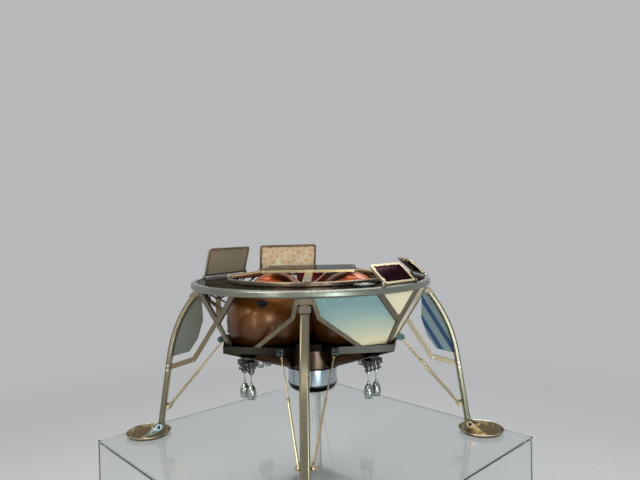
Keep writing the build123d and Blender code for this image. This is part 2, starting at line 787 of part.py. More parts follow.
def main():
    walls, top = make_plinth()
    export_step(walls, "parts/plinth_walls.step")
    export_step(top, "parts/plinth_top.step")

    ring = make_ring()
    save(ring, "top_ring")
    save(make_deck(), "deck_plate")
    save(make_lip(), "deck_lip")
    save(make_port(), "deck_port")
    save(make_slab(), "upper_panel")
    save(make_slab_straps(), "upper_panel_straps")

    pockets = tank_pockets()
    save(make_floor(pockets), "tank_floor")
    belly = make_belly(pockets)
    save(belly, "belly")
    save(make_column(), "centre_tube")
    save(make_casing(pockets), "engine_casing")
    save(make_engine(), "main_engine")

    y_frame = make_y()
    bay_bar = make_bay_bar()
    bay_frame = make_bay_frame(bay_bar)
    side_panel = make_side_panel(y_frame, bay_bar)
    other_panel = mirror(side_panel, about=Plane.XZ)
    bays = [turned(bay_frame, turn) for turn in LEG_TURNS]
    save(Compound(children=bays), "bay_bars")

    # The right half of the body is closed by sheets and the left half is left open
    panels = [turned(side_panel, 0), turned(other_panel, 0)]
    panels += [turned(side_panel, 270), turned(other_panel, 90)]
    save(Compound(children=panels), "side_panels")
    y_panels = [turned(make_y_panel(y_frame), turn) for turn in (45, -45)]
    save(Compound(children=y_panels), "corner_panels")

    leg = make_leg(ring)
    wing = make_wing(leg)
    sleeve = make_sleeve(leg)
    pane = make_pane(leg, wing, ring, sleeve)
    struts = make_struts()
    pad = make_pad()
    yoke = make_yoke()
    thrusters = make_thruster_pair(belly)
    yokes, sleeves, fittings = [], [], []
    for number, turn in enumerate(LEG_TURNS, start=1):
        save(turned(leg, turn), f"leg_{number}")
        save(turned(wing, turn), f"wing_frame_{number}")
        save(turned(pane, turn), f"wing_pane_{number}")
        save(turned(struts, turn), f"struts_{number}")
        save(turned(pad, turn), f"footpad_{number}")
        save(turned(y_frame, turn + 45), f"y_frame_{number}")
        save(turned(thrusters, turn + 45), f"thruster_pair_{number}")
        save(make_tank(turn), f"tank_{number}")
        yokes.append(turned(yoke, turn))
        sleeves.append(turned(sleeve, turn))
        fittings.append(make_fitting(turn))
    save(Compound(children=yokes), "pad_yokes")
    save(Compound(children=sleeves), "leg_sleeves")
    save(Compound(children=fittings), "tank_fittings")

    ears = []
    for name, azimuth, width, length, lean in flaps:
        place = flap_place(azimuth, width, lean)
        save(place * make_flap_frame(width, length), f"flap_frame_{name}")
        save(place * make_flap_pane(width, length), f"flap_pane_{name}")
        ears += [flap_place(azimuth, width, 0) * ear for ear in make_ears(width)]
    save(Compound(children=ears), "flap_hinge_ears")


main()
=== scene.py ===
"""Looks of the half-scale lunar lander model on its clear plinth, in metres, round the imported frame."""
import math

import bmesh
import bpy
from mathutils import Matrix, Vector


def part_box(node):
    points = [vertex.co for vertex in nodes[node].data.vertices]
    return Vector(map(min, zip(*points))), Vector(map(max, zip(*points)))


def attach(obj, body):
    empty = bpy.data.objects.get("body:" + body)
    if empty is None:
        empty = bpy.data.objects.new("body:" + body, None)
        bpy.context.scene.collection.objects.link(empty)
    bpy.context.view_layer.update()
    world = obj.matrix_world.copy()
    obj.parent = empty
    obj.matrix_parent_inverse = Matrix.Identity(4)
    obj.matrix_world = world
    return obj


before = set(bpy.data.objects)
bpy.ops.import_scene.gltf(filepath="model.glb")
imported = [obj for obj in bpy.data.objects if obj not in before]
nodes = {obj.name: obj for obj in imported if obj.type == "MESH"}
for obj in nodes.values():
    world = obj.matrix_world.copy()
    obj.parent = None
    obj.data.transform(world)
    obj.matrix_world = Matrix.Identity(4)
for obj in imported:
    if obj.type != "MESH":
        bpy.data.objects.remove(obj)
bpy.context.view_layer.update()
scene = bpy.context.scene

# Camera, from a fit of the photograph: where it stands, its focal length, the picture's width and how far
# the horizon lies above its middle, in pixels, and how it is turned
CAMERA_PLACE = (0.0998, -2.2026, 1.3851)
FOCAL_LENGTH, WIDTH, HORIZON_RISE = 532.1, 640.0, 9.109
CAMERA_YAW = math.radians(1.444)
CAMERA_PITCH = math.atan2(HORIZON_RISE, FOCAL_LENGTH)
CAMERA_ROLL = math.radians(1.068)
SENSOR = 36.0

# The lander's axis, at the height that its footpads stand at
AXIS_Y = (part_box("top_ring")[0][1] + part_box("top_ring")[1][1]) / 2
PAD_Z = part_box("plinth_top")[1][2]
AXIS = Vector((0.0, AXIS_Y, PAD_Z))


def make_camera():
    data = bpy.data.cameras.new("camera")
    data.lens = SENSOR * FOCAL_LENGTH / WIDTH
    data.sensor_width = SENSOR
    data.clip_start = 0.01
    camera = bpy.data.objects.new("camera", data)
    scene.collection.objects.link(camera)
    yaw, pitch, roll = CAMERA_YAW, CAMERA_PITCH, CAMERA_ROLL
    ahead = Vector((-math.sin(yaw) * math.cos(pitch), math.cos(yaw) * math.cos(pitch), -math.sin(pitch)))
    right = Vector((math.cos(yaw), math.sin(yaw), 0.0))
    up = right.cross(ahead)
    across = right * math.cos(roll) - up * math.sin(roll)
    above = right * math.sin(roll) + up * math.cos(roll)
    turn = Matrix((across, above, -ahead)).transposed().to_4x4()
    camera.matrix_world = Matrix.Translation(CAMERA_PLACE) @ turn
    scene.camera = camera


# Node helpers. A source is an output socket.

def new_material(name):
    material = bpy.data.materials.new(name)
    material.use_nodes = True
    tree = material.node_tree
    return material, tree, tree.nodes["Principled BSDF"]


def feed(tree, socket, value):
    """Links a socket to a source, or sets it to a number or a colour."""
    if isinstance(value, bpy.types.NodeSocket):
        tree.links.new(value, socket)
    elif isinstance(value, tuple):
        socket.default_value = (*value, 1.0)
    else:
        socket.default_value = value


def arithmetic(tree, operation, *values):
    node = tree.nodes.new("ShaderNodeMath")
    node.operation = operation
    for socket, value in zip(node.inputs, values):
        feed(tree, socket, value)
    return node.outputs["Value"]


def measure(tree, operation, first, second=None):
    """A vector's length, or its dot product with a source or three numbers."""
    node = tree.nodes.new("ShaderNodeVectorMath")
    node.operation = operation
    tree.links.new(first, node.inputs[0])
    if isinstance(second, tuple):
        node.inputs[1].default_value = second
    elif second is not None:
        tree.links.new(second, node.inputs[1])
    return node.outputs["Value"]


def remap(tree, source, first, last, low=0.0, high=1.0, curve="LINEAR"):
    """Maps first to last onto low to high, and holds the ends beyond."""
    node = tree.nodes.new("ShaderNodeMapRange")
    node.interpolation_type = curve
    for name, value in (("From Min", first), ("From Max", last), ("To Min", low), ("To Max", high)):
        node.inputs[name].default_value = value
    tree.links.new(source, node.inputs["Value"])
    return node.outputs["Result"]


def object_place(tree):
    return tree.nodes.new("ShaderNodeTexCoord").outputs["Object"]


def noise(tree, scale, detail=4.0, stretch=None):
    """Noise in object space, in cycles per metre, stretched along the axes if asked."""
    place = object_place(tree)
    if stretch:
        mapping = tree.nodes.new("ShaderNodeMapping")
        mapping.inputs["Scale"].default_value = stretch
        tree.links.new(place, mapping.inputs["Vector"])
        place = mapping.outputs["Vector"]
    texture = tree.nodes.new("ShaderNodeTexNoise")
    texture.inputs["Scale"].default_value = scale
    texture.inputs["Detail"].default_value = detail
    tree.links.new(place, texture.inputs["Vector"])
    return texture.outputs["Fac"]


def ramp(tree, source, stops):
    """A colour ramp from (position, colour) stops."""
    node = tree.nodes.new("ShaderNodeValToRGB")
    while len(node.color_ramp.elements) < len(stops):
        node.color_ramp.elements.new(0.5)
    for element, (position, colour) in zip(node.color_ramp.elements, stops):
        element.position = position
        element.color = (*colour, 1.0)
    tree.links.new(source, node.inputs["Fac"])
    return node.outputs["Color"]


def mix_colour(tree, factor, first, second, blend="MIX"):
    """Mixes two colours. Each value is a source, a number or a colour."""
    node = tree.nodes.new("ShaderNodeMix")
    node.data_type = "RGBA"
    node.blend_type = blend
    for value, name in ((factor, "Factor"), (first, "A"), (second, "B")):
        feed(tree, [k for k in node.inputs if k.name == name and k.enabled][0], value)
    return [k for k in node.outputs if k.enabled][0]


def edge_mask(tree, radius):
    """Near 1 along sharp edges and 0 on flat faces, from how far a rounded edge would turn the surface."""
    rounded = tree.nodes.new("ShaderNodeBevel")
    rounded.samples = 4
    rounded.inputs["Radius"].default_value = radius
    true = tree.nodes.new("ShaderNodeNewGeometry")
    match = measure(tree, "DOT_PRODUCT", rounded.outputs["Normal"], true.outputs["Normal"])
    return remap(tree, match, 0.995, 0.90)


def place_share(tree, direction, low, high):
    """0 at one distance along a direction and 1 at another, in metres."""
    return remap(tree, measure(tree, "DOT_PRODUCT", object_place(tree), direction), low, high)


def height_share(tree, low, high):
    """0 at one height and 1 at another, in metres above the floor."""
    return place_share(tree, (0.0, 0.0, 1.0), low, high)


def box_height(node, share):
    """The height at a share of a node's own height."""
    low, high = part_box(node)
    return low[2] + (high[2] - low[2]) * share


def shade(colour, factor):
    return tuple(min(1.0, max(0.0, c * factor)) for c in colour)


def around(colour, low, high):
    """Ramp stops from a darker shade of a colour to a lighter one."""
    return [(0.3, shade(colour, low)), (0.7, shade(colour, high))]


def surface(tree, shader, colour, grain, rough, bump, constants, relief=None):
    """Gives the shader its colour, a roughness that follows the grain between two values, bump of a
    (strength, distance in metres) from the grain or from a relief of its own, and its constants by name."""
    tree.links.new(colour, shader.inputs["Base Color"])
    tree.links.new(remap(tree, grain, 0.0, 1.0, *rough), shader.inputs["Roughness"])
    if bump:
        node = tree.nodes.new("ShaderNodeBump")
        node.inputs["Strength"].default_value, node.inputs["Distance"].default_value = bump
        tree.links.new(grain if relief is None else relief, node.inputs["Height"])
        tree.links.new(node.outputs["Normal"], shader.inputs["Normal"])
    for name, value in constants.items():
        feed(tree, shader.inputs[name], value)


# Bump of bare metal, and of gloss and sheet: strength, and distance in metres
FINE_SCUFFS = (0.05, 0.00003)
SOFT_GRAIN = (0.05, 0.0002)

# How far wear reaches in from an edge of metal, how far the painted light along the clear box's edges
# reaches, and how wide those edges are cut, in metres
WORN_EDGE, CLEAR_EDGE, CUT_EDGE = 0.0016, 0.0045, 0.0016


# Materials

def metal(name, colour, rough=0.3, metallic=1.0, variation=0.15, brushed=None, worn=None, rubbed=0.7,
          rim=(1.0, 1.0, 1.0)):
    """Metal with slow colour drift, fine scuffs, edges rubbed bright and, if asked, brushing along an axis.
    The rim is the tint of its reflections at a low angle."""
    material, tree, shader = new_material(name)
    base = ramp(tree, noise(tree, 9.0, 5.0), around(colour, 1 - variation, 1 + variation))
    patches = remap(tree, noise(tree, 45.0), 0.0, 1.0, 0.0, rubbed)
    wear = arithmetic(tree, "MULTIPLY", edge_mask(tree, WORN_EDGE), patches)
    surface(tree, shader, mix_colour(tree, wear, base, worn or shade(colour, 1.5)),
            noise(tree, 70.0, 3.0, brushed), (rough * 0.92, rough * 1.10), FINE_SCUFFS,
            {"Metallic": metallic, "Specular Tint": rim})
    return material


def banded_metal(name, low, high, first, last, rough=0.16, direction=(0.0, 0.0, 1.0)):
    """Polished metal of one colour up to a first height and another from a last, or along another
    direction."""
    material, tree, shader = new_material(name)
    tone = ramp(tree, noise(tree, 12.0), [(0.3, (0.86, 0.86, 0.88)), (0.7, (1.0, 1.0, 1.0))])
    base = mix_colour(tree, place_share(tree, direction, first, last), low, high)
    surface(tree, shader, mix_colour(tree, 1.0, base, tone, "MULTIPLY"), noise(tree, 60.0, 3.0, (1, 1, 5)),
            (rough * 0.9, rough * 1.15), FINE_SCUFFS, {"Metallic": 1.0})
    return material


def copper_skin(name):
    """Golden-brown gloss of the tanks: dark low down as painted shade, warm orange-red near the top, with
    soft mottling.
    """
    material, tree, shader = new_material(name)
    share = height_share(tree, box_height("tank_1", 0.0), box_height("tank_1", 1.0))
    # Colour by height: the darkest stops low down are painted shade under the deck
    colour = ramp(tree, arithmetic(tree, "MULTIPLY_ADD", noise(tree, 9.0), 0.30, share), [
        (0.15, (0.018, 0.007, 0.001)),
        (0.50, (0.070, 0.024, 0.002)),
        (0.90, (0.225, 0.078, 0.008)),
        (1.10, (0.480, 0.100, 0.018)),
    ])
    surface(tree, shader, colour, noise(tree, 60.0, 5.0), (0.30, 0.42), SOFT_GRAIN,
            {"Metallic": 0.45, "Coat Weight": 0.28, "Coat Roughness": 0.08})
    return material


def cell_gloss(name, base, line, cell, rough=0.12, rim=(0.30, 0.24, 0.22)):
    """Dark glossy sheet laid out in square cells, with faint lines between them."""
    material, tree, shader = new_material(name)
    brick = tree.nodes.new("ShaderNodeTexBrick")
    brick.offset = 0.0
    for socket, value in (("Scale", 1.0 / cell), ("Brick Width", 1.0), ("Row Height", 1.0),
                          ("Mortar Size", 0.03), ("Color1", base), ("Color2", shade(base, 1.25)),
                          ("Mortar", line), ("Vector", object_place(tree))):
        feed(tree, brick.inputs[socket], value)
    drift = noise(tree, 6.0, 3.0)
    tone = ramp(tree, drift, [(0.3, (0.75, 0.66, 0.74)), (0.7, (1.0, 0.92, 0.88))])
    surface(tree, shader, mix_colour(tree, 0.6, brick.outputs["Color"], tone, "MULTIPLY"), drift,
            (rough * 0.7, rough * 1.5), (0.12, 0.0004), {"Metallic": 1.0, "Specular Tint": rim},
            brick.outputs["Fac"])
    return material


def sheet_plastic(name, colour, rough=0.28, warm=None, coat=0.25):
    """Semi-gloss sheet with a slow drift of tone."""
    material, tree, shader = new_material(name)
    stops = [(0.32, warm or shade(colour, 0.93)), (0.68, colour)]
    surface(tree, shader, ramp(tree, noise(tree, 5.0, 3.0), stops), noise(tree, 420.0, 3.0),
            (rough * 0.8, rough * 1.25), SOFT_GRAIN, {"Coat Weight": coat})
    return material


def body_sheet(name):
    """White sheet of the body, with faint smudges and painted light. The front is pale blue above, a painted
    cool reflection, and cream towards its lower edge, painted warm light; the right side is cream all over,
    painted as its lit side."""
    material, tree, shader = new_material(name)
    share = height_share(tree, box_height("side_panels", 0.0), box_height("side_panels", 1.0))
    height = arithmetic(tree, "MULTIPLY_ADD", noise(tree, 7.0, 5.0), 0.35, share)
    # Painted light on the white sheet: cool blue above, warm cream low down, and cream over the right side as
    # lit
    front = ramp(tree, height, [
        (0.15, (0.80, 0.70, 0.43)),
        (0.40, (0.56, 0.58, 0.42)),
        (0.75, (0.27, 0.40, 0.38)),
        (1.15, (0.18, 0.32, 0.33)),
    ])
    side = ramp(tree, height, [(0.2, (0.92, 0.78, 0.48)), (1.1, (0.78, 0.70, 0.50))])
    turned = place_share(tree, (1.0, 1.0, 0.0), AXIS_Y - 0.03, AXIS_Y + 0.03)
    surface(tree, shader, mix_colour(tree, turned, front, side), noise(tree, 300.0, 3.0), (0.22, 0.34),
            SOFT_GRAIN, {"Coat Weight": 0.3})
    return material


# The right wing's stripes: the way across them in the leg's plane, how far along it their middles lie from
# the lander's axis at the footpads' height, their half widths and their soft edge, in metres
ACROSS_STRIPES = (0.857, 0.0, 0.515)
STRIPES = [(0.6530, 0.0082), (0.6970, 0.0085)]
STRIPE_EDGE = 0.0006


def striped_sheet(name, ground, stripe):
    """Wing sheet with two stripes along it."""
    material, tree, shader = new_material(name)
    reach = measure(tree, "DOT_PRODUCT", object_place(tree), ACROSS_STRIPES)
    masks = []
    for middle, half in STRIPES:
        off = arithmetic(tree, "SUBTRACT", reach, middle + ACROSS_STRIPES[2] * PAD_Z)
        masks.append(remap(tree, arithmetic(tree, "ABSOLUTE", off), half + STRIPE_EDGE, half))
    drift = noise(tree, 8.0)
    plain = ramp(tree, drift, around(ground, 0.88, 1.0))
    inked = ramp(tree, drift, around(stripe, 0.8, 1.0))
    colour = mix_colour(tree, arithmetic(tree, "MAXIMUM", *masks), plain, inked)
    surface(tree, shader, colour, noise(tree, 420.0, 3.0), (0.30, 0.42), SOFT_GRAIN,
            {"Specular IOR Level": 0.18})
    return material


def clear_sheet(name, tint, edge_tint):
    """Clear acrylic with faint smears, and a painted tint along its edges that stands in for the light they
    catch.
    """
    material, tree, shader = new_material(name)
    smear = noise(tree, 3.0, 6.0)
    body = ramp(tree, smear, [(0.35, tint), (0.75, shade(tint, 0.97))])
    surface(tree, shader, mix_colour(tree, edge_mask(tree, CLEAR_EDGE), body, edge_tint), smear, (0.01, 0.06),
            None, {"Transmission Weight": 1.0, "IOR": 1.49})
    return material


def honeycomb_gloss(name, colour, line):
    """A warm glossy sheet with a soft net of bright lines."""
    material, tree, shader = new_material(name)
    cells = tree.nodes.new("ShaderNodeTexVoronoi")
    cells.feature = "DISTANCE_TO_EDGE"
    for socket, value in (("Scale", 36.0), ("Randomness", 0.65), ("Vector", object_place(tree))):
        feed(tree, cells.inputs[socket], value)
    edge = cells.outputs["Distance"]
    net = ramp(tree, edge, [(0.03, line), (0.12, shade(colour, 1.10)), (0.6, shade(colour, 0.85))])
    tone = ramp(tree, noise(tree, 7.0, 3.0), [(0.35, (0.86, 0.80, 0.74)), (0.65, (1.0, 1.0, 0.97))])
    surface(tree, shader, mix_colour(tree, 1.0, net, tone, "MULTIPLY"), noise(tree, 11.0), (0.16, 0.34),
            (0.3, 0.002), {}, edge)
    return material


# How each material is made, and from what
MATERIALS = [
    (metal, {
        "ring_metal": dict(colour=(0.27, 0.29, 0.24), metallic=0.95, variation=0.08, rubbed=0.0),
        "lip_metal": dict(colour=(0.24, 0.20, 0.14), rough=0.26, metallic=0.9, variation=0.12, rubbed=0.3),
        "pale_metal": dict(colour=(0.245, 0.222, 0.150), rough=0.26, metallic=0.95, variation=0.06,
                           rubbed=0.0),
        "bar_metal": dict(colour=(0.190, 0.155, 0.100), rough=0.32, metallic=0.9, variation=0.06, rubbed=0.2),
        "bronze_metal": dict(colour=(0.205, 0.175, 0.125), rough=0.34, metallic=0.8, variation=0.10,
                             rubbed=0.25),
        "strap_metal": dict(colour=(0.42, 0.34, 0.20), rough=0.26, metallic=0.9, variation=0.08, rubbed=0.4),
        "fascia_metal": dict(colour=(0.018, 0.0175, 0.015), rough=0.22, variation=0.25,
                             rim=(0.3, 0.26, 0.22)),
        "dark_metal": dict(colour=(0.200, 0.160, 0.122), rough=0.20, variation=0.30, rubbed=0.3,
                           worn=(0.26, 0.22, 0.18), rim=(0.20, 0.16, 0.13)),
        "casing_metal": dict(colour=(0.090, 0.062, 0.044), rough=0.24, variation=0.3, worn=(0.16, 0.12, 0.10),
                             rim=(0.15, 0.11, 0.09)),
        "black_fitting": dict(colour=(0.020, 0.024, 0.026), rough=0.32, metallic=0.5, variation=0.3,
                              worn=(0.15, 0.15, 0.15)),
        "bright_metal": dict(colour=(0.70, 0.70, 0.66), rough=0.18, variation=0.06),
        "steel_strap": dict(colour=(0.66, 0.84, 0.88), metallic=0.8, variation=0.08, brushed=(1, 8, 1)),
        "gold_rod": dict(colour=(0.66, 0.54, 0.31), rough=0.22, variation=0.08, rubbed=0.0),
        "pad_metal": dict(colour=(0.34, 0.285, 0.195), rough=0.26, metallic=0.95, variation=0.18,
                          worn=(0.55, 0.50, 0.40), rim=(0.35, 0.30, 0.24)),
        "teal_fitting": dict(colour=(0.055, 0.085, 0.085), rough=0.26, metallic=0.8, variation=0.25,
                             worn=(0.30, 0.40, 0.40)),
        "pad_edge": dict(colour=(0.62, 0.56, 0.44), rough=0.26, variation=0.10),
        "deck_line": dict(colour=(0.085, 0.066, 0.055), rough=0.35, metallic=0.7, variation=0.2),
        "gold_frame": dict(colour=(0.60, 0.50, 0.31), rough=0.28, metallic=0.9, variation=0.10),
        "champagne_frame": dict(colour=(0.40, 0.37, 0.26), rough=0.32, metallic=0.85, variation=0.10),
        "dark_red": dict(colour=(0.30, 0.012, 0.020), rough=0.40, metallic=0.1, variation=0.30),
    }),
    (banded_metal, {
        "engine_metal": dict(low=(0.012, 0.012, 0.013), high=(0.46, 0.56, 0.60), rough=0.12,
                             first=box_height("main_engine", 0.27), last=box_height("main_engine", 0.31)),
        "strut_metal": dict(low=(0.72, 0.60, 0.36), high=(0.055, 0.085, 0.085), rough=0.22,
                            first=box_height("struts_1", 0.905), last=box_height("struts_1", 0.92)),
        "thruster_metal": dict(low=(0.38, 0.42, 0.38), high=(0.13, 0.14, 0.125),
                               first=box_height("thruster_pair_1", 0.58),
                               last=box_height("thruster_pair_1", 0.62)),
        # The yokes carry painted coloured light: pale blue on the left of the scene and gold on the right, by
        # place across the scene
        "yoke_metal": dict(low=(0.62, 0.82, 0.86), high=(0.72, 0.60, 0.36), rough=0.24,
                           first=-0.15, last=0.35, direction=(1.0, 0.0, 0.0)),
    }),
    (cell_gloss, {
        "deck_gloss": dict(base=(0.046, 0.036, 0.033), line=(0.072, 0.058, 0.053), cell=0.045),
        "panel_gloss": dict(base=(0.040, 0.035, 0.043), line=(0.090, 0.080, 0.092), cell=0.05,
                            rim=(0.05, 0.045, 0.05)),
        "flap_glass": dict(base=(0.050, 0.042, 0.048), line=(0.080, 0.070, 0.078), cell=0.025, rough=0.07),
    }),
    (sheet_plastic, {
        "joint_cement": dict(colour=(0.72, 0.80, 0.80), warm=(0.66, 0.72, 0.72)),
        "corner_sheet": dict(colour=(0.88, 0.76, 0.50), warm=(0.72, 0.68, 0.50)),
        "plain_left": dict(colour=(0.085, 0.115, 0.100), rough=0.2, warm=(0.090, 0.092, 0.066)),
        "pale_sheet": dict(colour=(0.30, 0.34, 0.31), warm=(0.30, 0.31, 0.27)),
        "port_lens": dict(colour=(0.012, 0.018, 0.020), rough=0.08, coat=1.0),
        "grey_pane": dict(colour=(0.400, 0.355, 0.255), rough=0.16, warm=(0.44, 0.375, 0.260)),
    }),
    (copper_skin, {"copper_skin": {}}),
    (body_sheet, {"body_sheet": {}}),
    (striped_sheet, {"flag_right": dict(ground=(0.195, 0.275, 0.275), stripe=(0.002, 0.050, 0.155))}),
    (clear_sheet, {"acrylic": dict(tint=(0.93, 0.96, 0.96), edge_tint=(0.86, 0.93, 0.93))}),
    (honeycomb_gloss, {"gold_pane": dict(colour=(1.0, 0.69, 0.39), line=(1.0, 0.97, 0.82))}),
]
MAT = {name: make(name, **looks) for make, looks_of in MATERIALS for name, looks in looks_of.items()}

# First part of a node's name, and its material
FINISH = [
    ("plinth", "acrylic"),
    ("top_ring", "ring_metal"),
    ("deck_plate", "deck_gloss"),
    ("deck_lip", "lip_metal"),
    ("deck_port", "black_fitting"),
    ("upper_panel_straps", "strap_metal"),
    ("upper_panel", "panel_gloss"),
    ("tank_fittings", "black_fitting"),
    ("tank_floor", "fascia_metal"),
    ("belly", "dark_metal"),
    ("centre_tube", "dark_red"),
    ("engine_casing", "casing_metal"),
    ("main_engine", "engine_metal"),
    ("bay_bars", "bronze_metal"),
    ("side_panels", "body_sheet"),
    ("corner_panels", "corner_sheet"),
    ("leg_sleeves", "bronze_metal"),
    ("leg_", "pale_metal"),
    ("wing_frame", "bar_metal"),
    ("wing_pane_1", "flag_right"),
    ("wing_pane_3", "plain_left"),
    ("wing_pane", "pale_sheet"),
    ("struts", "strut_metal"),
    ("footpad", "pad_metal"),
    ("pad_yokes", "yoke_metal"),
    ("y_frame", "bronze_metal"),
    ("thruster", "thruster_metal"),
    ("tank_", "copper_skin"),
    ("flap_frame_a", "champagne_frame"),
    ("flap_frame_b", "champagne_frame"),
    ("flap_frame", "gold_frame"),
    ("flap_pane_a", "gold_pane"),
    ("flap_pane_b", "grey_pane"),
    ("flap_pane", "flap_glass"),
    ("flap_hinge", "bronze_metal"),
]


def dress_nodes():
    """Gives every CAD node its material, and the clear box narrow polished edges that catch the light."""
    for name, piece in nodes.items():
        finish = next(material for start, material in FINISH if name.startswith(start))
        piece.data.materials.clear()
        piece.data.materials.append(MAT[finish])
        if name.startswith("plinth"):
            edges = piece.modifiers.new("edges", "BEVEL")
            edges.width = CUT_EDGE
            edges.segments = 3
            edges.limit_method = "ANGLE"


# Small pieces: each is one joined mesh, placed from the same sizes as the solids. Lengths are in
# millimetres and angles in degrees, in the lander's frame: its axis is Z, its footpads stand at height 0,
# and one leg is on +X.

# The ring's middle radius and the height that its screws sit at, the deck's middle radius and top, and
# the hinges' height
RING_MIDDLE, RING_SEAT, DECK_MIDDLE, DECK_TOP, HINGE_HEIGHT = 489.0, 664.8, 416.0, 663.0, 675.0
PANEL_LENGTH, PANEL_WIDTH, PANEL_TOP = 385.0, 330.0, 710.0
# The tanks' radius, the X, Y and height of their middles, and the valves' rise over those
TANK_RADIUS, TANK_OFFSET, TANK_HEIGHT, VALVE_RISE = 160.0, 167.5, 518.0, 80.0
# A strut's ends, the outer end of the pin at a foot, and how far out the footpads' middles are
STRUT_FOOT, STRUT_HEAD = Vector((621.0, 22.0, 122.0)), Vector((358.0, 98.0, 429.0))
PIN_END, PAD_REACH = (660.0, 32.0, 39.0), 715.0
# A thruster's place out from the axis and to the side of its diagonal, and its manifold's height
THRUSTER_REACH, THRUSTER_SIDE, MANIFOLD = 338.0, 22.0, 362.0
LEGS, DIAGONALS = (0, 90, 180, 270), (45, 135, 225, 315)
SIDEWAYS, OUTWARD, DOWN = (0, 1, 0), (1, 0, 0), (0, 0, -1)
# Sides of a pipe, steps round each of its bends, and the share of the shorter run beside it that a bend
# takes up
PIPE_SIDES, BEND_STEPS, BEND_SHARE = 10, 5, 0.3
# The least angle between two faces that keeps their edge sharp
SHARP_ANGLE = 32

# Hinged panels: name, azimuth, width, length and lean at rest
FLAPS = [("a", 197.0, 290.0, 130.0, 12.0), ("b", 242.0, 290.0, 130.0, 15.0),
         ("c", 45.0, 176.0, 100.0, 50.0), ("d", 100.0, 176.0, 100.0, 48.0)]


# Places

def lander(turn=0.0, side=1):
    """From the lander's frame, mirrored across the plane of the leg on +X for side -1 and then turned about
    its axis, to the scene."""
    where = Matrix.Translation(AXIS) @ Matrix.Rotation(math.radians(turn), 4, "Z") @ Matrix.Scale(0.001, 4)
    return where @ Matrix.Diagonal((1, side, 1, 1))


def both_sides(turns=LEGS):
    """The lander's frame at each turn, mirrored and not."""
    return [lander(turn, side) for turn in turns for side in (-1, 1)]


def at(where, x, y, z):
    """A frame moved along its own axes."""
    return where @ Matrix.Translation((x, y, z))


def aimed(where, place, axis):
    """A frame at a place with its Z along an axis."""
    return at(where, *place) @ Vector(axis).to_track_quat("Z", "Y").to_matrix().to_4x4()


def round_spots(where, count, radius, height=0.0, start=0.0):
    """Frames evenly spaced round a circle, the first a share of a step on from X."""
    for k in range(count):
        angle = 2 * math.pi * (k + start) / count
        yield at(where, radius * math.cos(angle), radius * math.sin(angle), height)


def on_circle(radius, angle, height):
    """A point at a radius from the axis, at an angle from X."""
    return Vector((radius * math.cos(math.radians(angle)), radius * math.sin(math.radians(angle)), height))


# The slanted plane beside the leg, that the bars, the Ys and the sheets lie in: one of its points and its
# outward normal
SLANT_POINT = on_circle(485.0, 6.0, 639.0)
SLANT_NORMAL = (on_circle(419.0, 45.0, 443.0) - SLANT_POINT).cross(
    on_circle(485.0, 32.5, 639.0) - SLANT_POINT).normalized()


def on_slant(side, height, rise=0.0):
    """The point of that plane at a distance beside the leg and a height, raised outwards from it."""
    across = SLANT_NORMAL.y * (side - SLANT_POINT.y) + SLANT_NORMAL.z * (height - SLANT_POINT.z)
    return Vector((SLANT_POINT.x - across / SLANT_NORMAL.x, side, height)) + SLANT_NORMAL * rise


# Shapes. Each is added to a mesh at a frame.

def skin(bm, rings):
    """Joins each closed ring of vertices to the next with faces. A ring of one vertex is a point."""
    for low, high in zip(rings, rings[1:]):
        count = max(len(low), len(high))
        for k in range(count):
            n = (k + 1) % count
            corners = (low[k % len(low)], low[n % len(low)], high[n % len(high)], high[k % len(high)])
            bm.faces.new(tuple(dict.fromkeys(corners)))


def lathe(bm, profile, where, count):
    """A turned shape. The profile is (radius, height) from one end to the other."""
    rings = []
    for radius, height in profile:
        angles = [2 * math.pi * k / count for k in range(count if radius else 1)]
        rings.append([bm.verts.new(where @ Vector((radius * math.cos(a), radius * math.sin(a), height)))
                      for a in angles])
    skin(bm, rings)


def band(bm, where, radius, thick, high, count):
    """A thin band of the given middle radius round the frame's Z, with its corners cut."""
    cut = min(thick, high) * 0.25
    half, rise = thick / 2, high / 2
    outline = [(-half, -rise + cut), (-half + cut, -rise), (half - cut, -rise), (half, -rise + cut),
               (half, rise - cut), (half - cut, rise), (-half + cut, rise), (-half, rise - cut),
               (-half, -rise + cut)]
    lathe(bm, [(radius + out, height) for out, height in outline], where, count)


def hex_bolt(bm, where, radius, height):
    """A hexagon head with cut corners on a thin washer, standing up from Z = 0."""
    washer = height * 0.26
    lathe(bm, [(0, 0), (radius * 1.35, 0), (radius * 1.35, height * 0.18), (radius * 1.2, washer),
               (0, washer)], where, 16)
    lathe(bm, [(0, washer), (radius, washer), (radius, height * 0.86), (radius * 0.84, height),
               (0, height)], where, 6)


def screw(bm, where, radius, height):
    """A low round screw head with a sunk socket."""
    lathe(bm, [(radius, 0), (radius, height * 0.45), (radius * 0.8, height * 0.9), (radius * 0.55, height)],
          where, 14)
    lathe(bm, [(radius * 0.55, height), (radius * 0.42, height), (radius * 0.42, height * 0.4),
               (0, height * 0.4)], where, 14)


def pipe(bm, points, radius, where):
    """A round pipe through a run of points, with closed ends."""
    points = [Vector(p) for p in points]
    side = (points[1] - points[0]).orthogonal()
    rings = []
    for k, point in enumerate(points):
        ahead = (points[min(k + 1, len(points) - 1)] - points[max(k - 1, 0)]).normalized()
        side = (side - ahead * side.dot(ahead)).normalized()
        other = ahead.cross(side)
        angles = [2 * math.pi * n / PIPE_SIDES for n in range(PIPE_SIDES)]
        rings.append([bm.verts.new(where @ (point + (side * math.cos(a) + other * math.sin(a)) * radius))
                      for a in angles])
    skin(bm, rings)
    bm.faces.new(rings[0][::-1])
    bm.faces.new(rings[-1])


